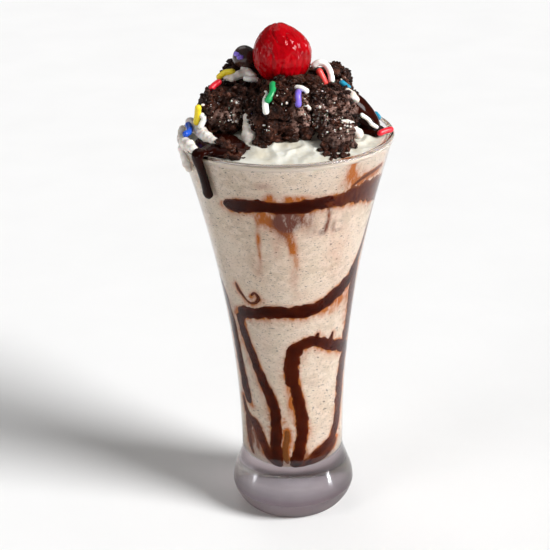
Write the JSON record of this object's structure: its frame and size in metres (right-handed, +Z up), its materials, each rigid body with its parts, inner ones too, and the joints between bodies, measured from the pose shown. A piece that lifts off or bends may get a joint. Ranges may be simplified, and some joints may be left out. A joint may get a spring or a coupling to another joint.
{
  "type": "milkshake",
  "caption": "Milkshake in a footed, flared glass, with whipped cream, broken brownie, chocolate sauce, a chocolate ball and a cherry on top.",
  "frame": {"origin": "middle of the ring that the foot rests on, at table level", "axes": "+Z up along the glass's axis; -Y towards the side that shows the drip at its left"},
  "size_m": [0.0834, 0.0832, 0.2039],
  "materials": {
    "clear_glass": "clear, fire-polished",
    "milkshake": "thick, creamy, with fine dark specks",
    "cream": "soft, whipped",
    "sauce": "wet, glossy",
    "brownie": "crumbly, moist",
    "cherry": "wet, glossy",
    "chocolate": "polished",
    "sugar": "smooth, coloured sugar sprinkles"
  },
  "bodies": {
    "root": {"glass": "clear_glass", "milkshake": "milkshake", "whipped_cream": "cream", "sauce_left": "sauce", "sauce_right": "sauce", "brownie_left": "brownie", "brownie_front": "brownie", "brownie_right": "brownie", "brownie_top_right": "brownie", "brownie_crumb": "brownie", "brownie_back": "brownie", "brownie_ledge": "brownie", "brownie_middle": "brownie", "cherry": "cherry", "chocolate_ball": "chocolate"}
  },
  "joints": []
}
